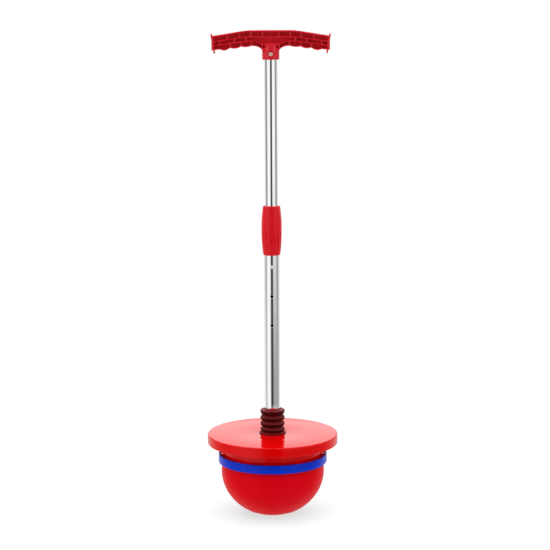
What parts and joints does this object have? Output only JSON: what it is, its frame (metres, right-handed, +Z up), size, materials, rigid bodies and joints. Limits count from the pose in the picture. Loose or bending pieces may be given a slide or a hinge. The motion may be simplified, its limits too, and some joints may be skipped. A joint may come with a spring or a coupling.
{
  "type": "pogo stick",
  "caption": "Child's pogo jumper: T-handle on a telescoping pole, sprung on a round standing deck that sits on an inflated ball held by a hoop.",
  "frame": {"origin": "on the ground under the pole's axis, at the centre of the ball's flat foot", "axes": "+Z up along the pole, +X along the handle to the right, -Y towards the front, where the snap button is"},
  "size_m": [0.2528, 0.2528, 0.9365],
  "materials": {
    "gloss_red": "high gloss injection-moulded plastic",
    "ball_vinyl": "smooth satin vinyl",
    "grip_red": "satin moulded plastic",
    "sleeve_red": "satin moulded plastic",
    "blue_plastic": "satin-gloss moulded plastic",
    "maroon_rubber": "matt moulded rubber",
    "chrome_tube": "bright chrome plate",
    "zinc_steel": "zinc-plated steel",
    "nylon": "natural nylon"
  },
  "bodies": {
    "base": {"ball": "ball_vinyl", "valve_plug": "ball_vinyl", "clamp_hoop": "blue_plastic", "hoop_screw_1": "zinc_steel", "hoop_screw_2": "zinc_steel", "hoop_screw_3": "zinc_steel", "hoop_screw_4": "zinc_steel", "hoop_screw_5": "zinc_steel", "hoop_screw_6": "zinc_steel", "skirt_plate": "gloss_red", "deck_top": "gloss_red", "deck_screw_1": "zinc_steel", "deck_screw_2": "zinc_steel", "deck_screw_3": "zinc_steel", "deck_screw_4": "zinc_steel", "deck_screw_5": "zinc_steel", "deck_screw_6": "zinc_steel", "guide_post": "zinc_steel", "post_screw_1": "zinc_steel", "post_screw_2": "zinc_steel", "post_screw_3": "zinc_steel", "post_screw_4": "zinc_steel", "stop_washer": "zinc_steel", "stop_bolt": "zinc_steel", "spring_seat": "zinc_steel", "bounce_spring": "zinc_steel", "bellows": "maroon_rubber"},
    "lower_pole": {"lower_tube": "chrome_tube", "pole_bush": "nylon", "mouth_bush": "nylon", "coupling_sleeve": "sleeve_red", "sleeve_screw": "zinc_steel"},
    "upper_pole": {"upper_tube": "chrome_tube", "glide_plug": "nylon", "button_spring": "zinc_steel", "handle": "grip_red", "handle_bolt": "zinc_steel", "handle_nut": "zinc_steel"},
    "button": {"snap_button": "chrome_tube"}
  },
  "joints": [
    {"name": "pole_bounce", "type": "slide", "parent": "base", "child": "lower_pole", "axis": [0, 0, 1], "range_m": [-0.018, 0], "stiffness_N_per_m": 6000, "springref_m": 0.008, "deforming": ["bounce_spring", "bellows"]},
    {"name": "handle_height", "type": "slide", "parent": "lower_pole", "child": "upper_pole", "axis": [0, 0, 1], "range_m": [-0.1144, 0], "deforming": ["snap_button"]},
    {"name": "button_press", "type": "slide", "parent": "upper_pole", "child": "button", "axis": [0, 1, 0], "range_m": [0, 0.0044], "stiffness_N_per_m": 800, "springref_m": -0.002, "deforming": ["button_spring"]}
  ]
}
